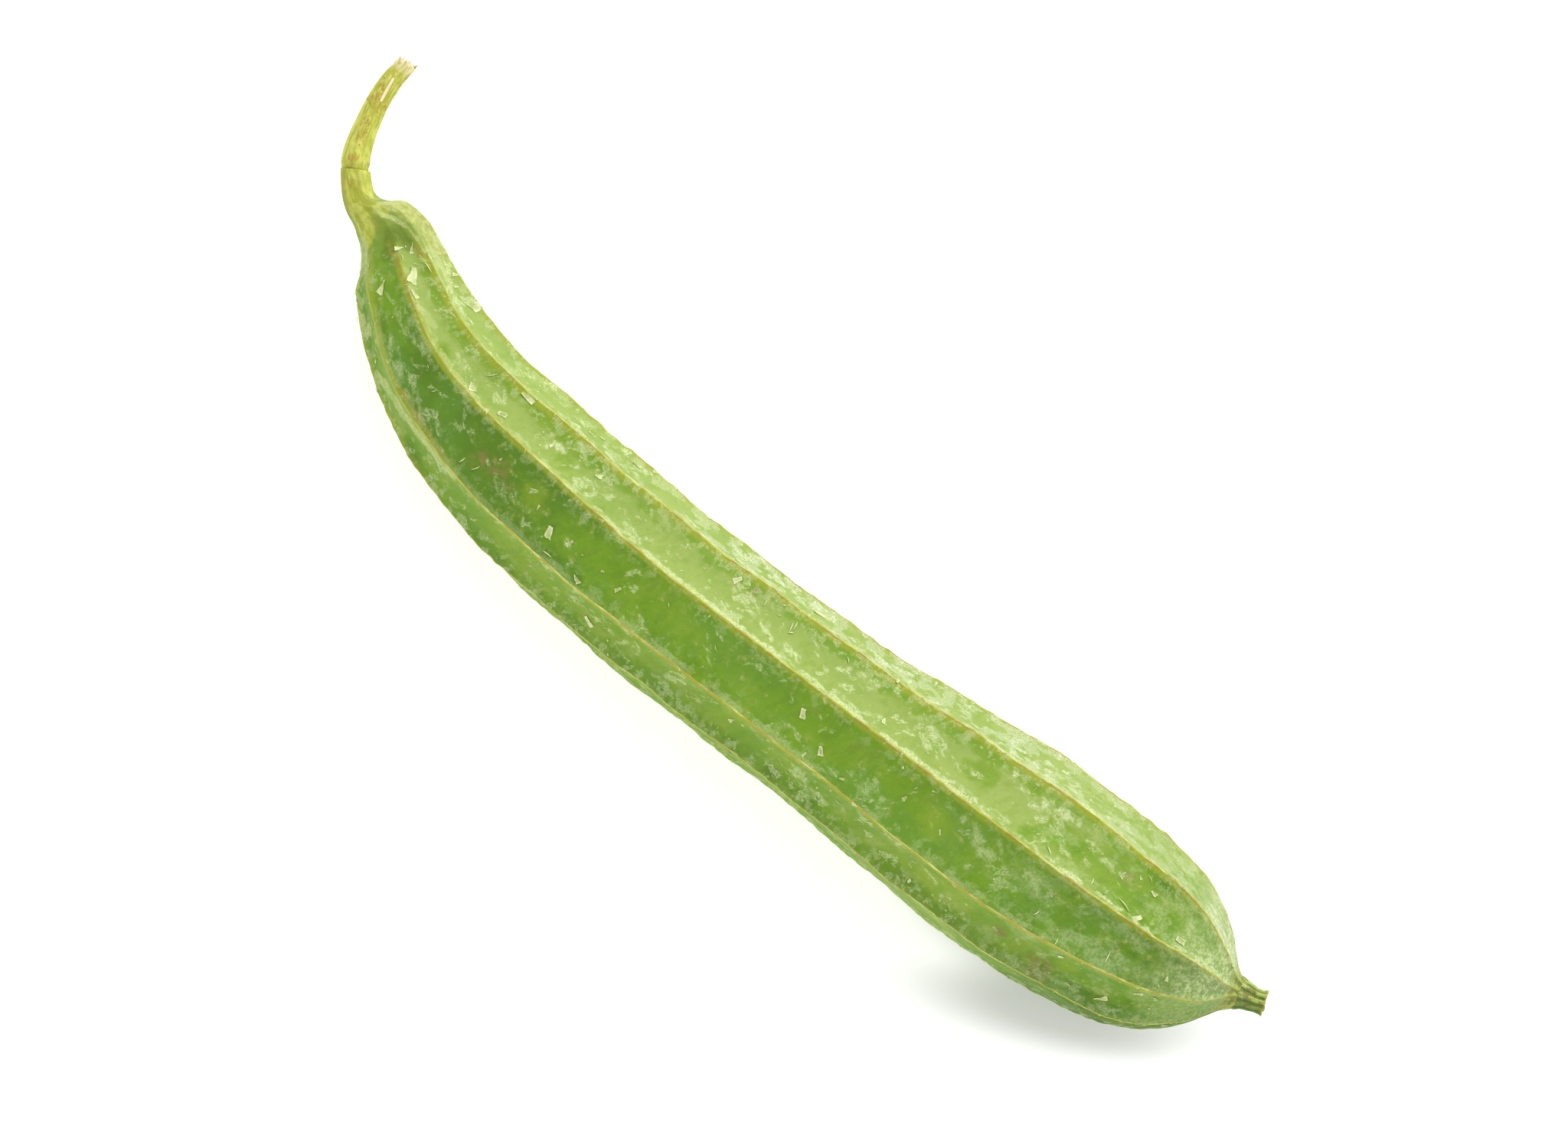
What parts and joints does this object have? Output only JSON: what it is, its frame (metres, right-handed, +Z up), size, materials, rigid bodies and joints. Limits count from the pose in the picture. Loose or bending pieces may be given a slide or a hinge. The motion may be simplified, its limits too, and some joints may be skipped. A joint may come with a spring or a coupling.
{
  "type": "ridge gourd",
  "caption": "Whole ridge gourd as picked: a long bent green fruit with sharp lengthwise ridges, a flared neck, a bent cut stem and a dried flower stub, lying on its side.",
  "frame": {"origin": "on the resting surface, under the middle of the gourd's box", "axes": "+X along the fruit from stem to blossom end, +Y to the side the neck bends towards, +Z up"},
  "size_m": [0.3165, 0.0828, 0.0525],
  "materials": {
    "fruit_skin": "waxy green rind with yellow crest lines, pale bloom and darker flanks",
    "stem_skin": "matte yellow-green stalk with brown specks and fibres",
    "dry_flower_stub": "dry, ribbed, dull green turning brown at the rim"
  },
  "bodies": {
    "root": {"fruit": "fruit_skin", "stem": "stem_skin", "blossom_end": "dry_flower_stub"}
  },
  "joints": []
}
